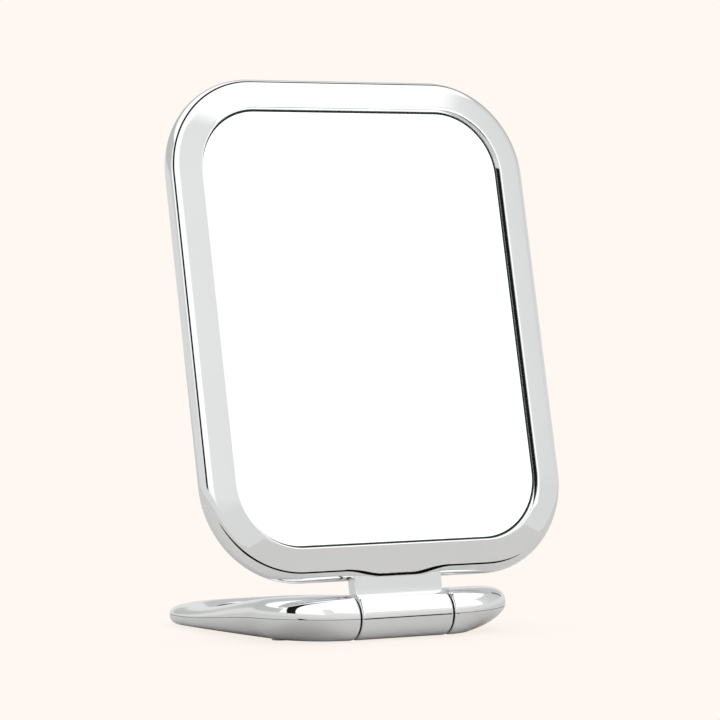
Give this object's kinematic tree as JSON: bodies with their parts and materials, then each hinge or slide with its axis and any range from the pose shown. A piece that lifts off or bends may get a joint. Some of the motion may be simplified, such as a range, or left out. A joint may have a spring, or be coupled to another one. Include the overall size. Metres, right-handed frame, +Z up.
{
  "type": "folding shaving mirror",
  "caption": "Chromed folding shaving mirror: a framed flat mirror on a friction hinge in a loop that is both stand and handle.",
  "frame": {"origin": "centre of the bounding box, on the surface that the feet stand on", "axes": "+Z up, X along the hinge, the mirror faces -Y and leans back towards +Y"},
  "size_m": [0.1194, 0.111, 0.165],
  "materials": {
    "chrome_plate": "polished",
    "mirror_silver": "polished",
    "cover_metal": "polished",
    "chassis_metal": "satin",
    "steel": "satin",
    "zinc_casting": "matte",
    "acetal": "satin",
    "nylon": "matte",
    "foam": "matte",
    "silicone": "matte"
  },
  "bodies": {
    "stand": {"loop_upper_shell": "chrome_plate", "loop_lower_shell": "chrome_plate", "front_left_shell_screw": "steel", "front_right_shell_screw": "steel", "back_left_shell_screw": "steel", "back_right_shell_screw": "steel", "front_left_foot": "silicone", "front_right_foot": "silicone", "back_left_foot": "silicone", "back_right_foot": "silicone", "hinge_pin": "steel", "left_friction_washer": "nylon", "right_friction_washer": "nylon", "left_knuckle_plug": "zinc_casting", "right_knuckle_plug": "zinc_casting", "cup_spring_1": "steel", "cup_spring_2": "steel", "pin_nut": "steel"},
    "mirror_head": {"mirror_frame": "chrome_plate", "mirror_glass": "mirror_silver", "backing_pad": "foam", "chassis_plate": "chassis_metal", "back_cover": "cover_metal", "hinge_lug": "chrome_plate", "lower_left_web_screw": "steel", "upper_left_web_screw": "steel", "lower_right_web_screw": "steel", "upper_right_web_screw": "steel", "left_tongue_screw": "steel", "right_tongue_screw": "steel", "left_bush": "acetal", "right_bush": "acetal"}
  },
  "joints": [
    {"name": "mirror_tilt", "type": "hinge", "parent": "stand", "child": "mirror_head", "pos_m": [0, -0.04888, 0.00695], "axis": [1, 0, 0], "range_deg": [-28, 101.6]}
  ]
}
